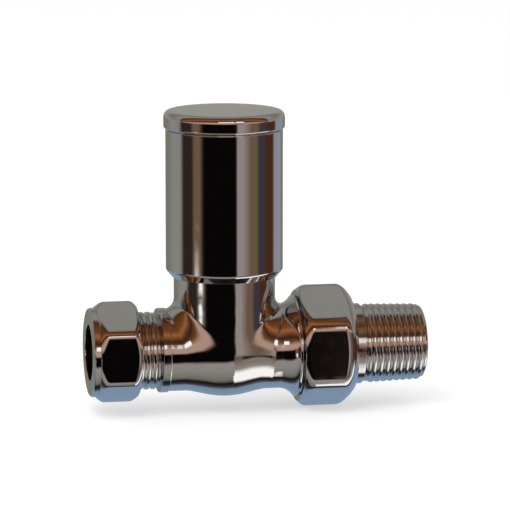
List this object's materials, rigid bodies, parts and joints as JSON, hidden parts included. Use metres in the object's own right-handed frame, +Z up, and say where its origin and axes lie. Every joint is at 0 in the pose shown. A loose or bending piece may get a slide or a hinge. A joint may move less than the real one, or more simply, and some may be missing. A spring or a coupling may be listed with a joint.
{
  "type": "straight towel rail valve",
  "caption": "Straight radiator valve: a hand-turned sleeve lifts a spindle off its seat, between a compression end for pipe and a union tail with a taper thread",
  "frame": {"origin": "centre of the pipe stop inside the body, on the run axis", "axes": "+X along the run from the pipe to the radiator, +Z up the spindle to the handle's cap, +Y to the back"},
  "size_m": [0.0914, 0.0326, 0.0814],
  "materials": {
    "chromed_brass": "polished chrome plate on forged and turned brass",
    "chromed_sleeve": "polished chrome plate on a drawn and turned sleeve",
    "plain_brass": "turned brass",
    "seal_rubber": "matt moulded rubber",
    "moulded_plastic": "moulded nylon",
    "screw_steel": "zinc plated steel"
  },
  "bodies": {
    "valve": {"valve_body": "chromed_brass", "bonnet": "plain_brass", "bonnet_seal": "seal_rubber"},
    "disc": {"jumper": "plain_brass", "valve_washer": "seal_rubber", "washer_nut": "plain_brass"},
    "control": {"spindle": "plain_brass", "spindle_o_ring_lower": "seal_rubber", "spindle_o_ring_upper": "seal_rubber", "handle_insert": "moulded_plastic", "handle": "chromed_sleeve", "handle_screw": "screw_steel", "screw_washer": "screw_steel", "handle_cap": "chromed_sleeve"},
    "olive": {"compression_olive": "plain_brass"},
    "pipe_nut": {"compression_nut": "chromed_brass"},
    "tail": {"union_tail": "chromed_brass"},
    "union_ring": {"union_nut": "chromed_brass"}
  },
  "joints": [
    {"name": "disc_rise", "type": "slide", "parent": "valve", "child": "disc", "axis": [0, 0, 1], "range_m": [0, 0.00525]},
    {"name": "handle_turn", "type": "hinge", "parent": "disc", "child": "control", "pos_m": [0.014, 0, 0], "axis": [0, 0, 1], "range_deg": [0, 1260]},
    {"name": "olive_back", "type": "slide", "parent": "valve", "child": "olive", "axis": [-1, 0, 0], "range_m": [0, 0.00544]},
    {"name": "pipe_nut_turn", "type": "hinge", "parent": "olive", "child": "pipe_nut", "pos_m": [0, 0, 0], "axis": [-1, 0, 0], "range_deg": [0, 1080]},
    {"name": "tail_back", "type": "slide", "parent": "valve", "child": "tail", "axis": [1, 0, 0], "range_m": [0, 0.00726]},
    {"name": "union_nut_turn", "type": "hinge", "parent": "tail", "child": "union_ring", "pos_m": [0.041, 0, 0], "axis": [1, 0, 0], "range_deg": [0, 1440]}
  ],
  "couplings": [
    {"joint": "disc_rise", "follows": "handle_turn", "m_per_rad": 0.00023873},
    {"joint": "olive_back", "follows": "pipe_nut_turn", "m_per_rad": 0.00028871},
    {"joint": "tail_back", "follows": "union_nut_turn", "m_per_rad": 0.00028871}
  ]
}
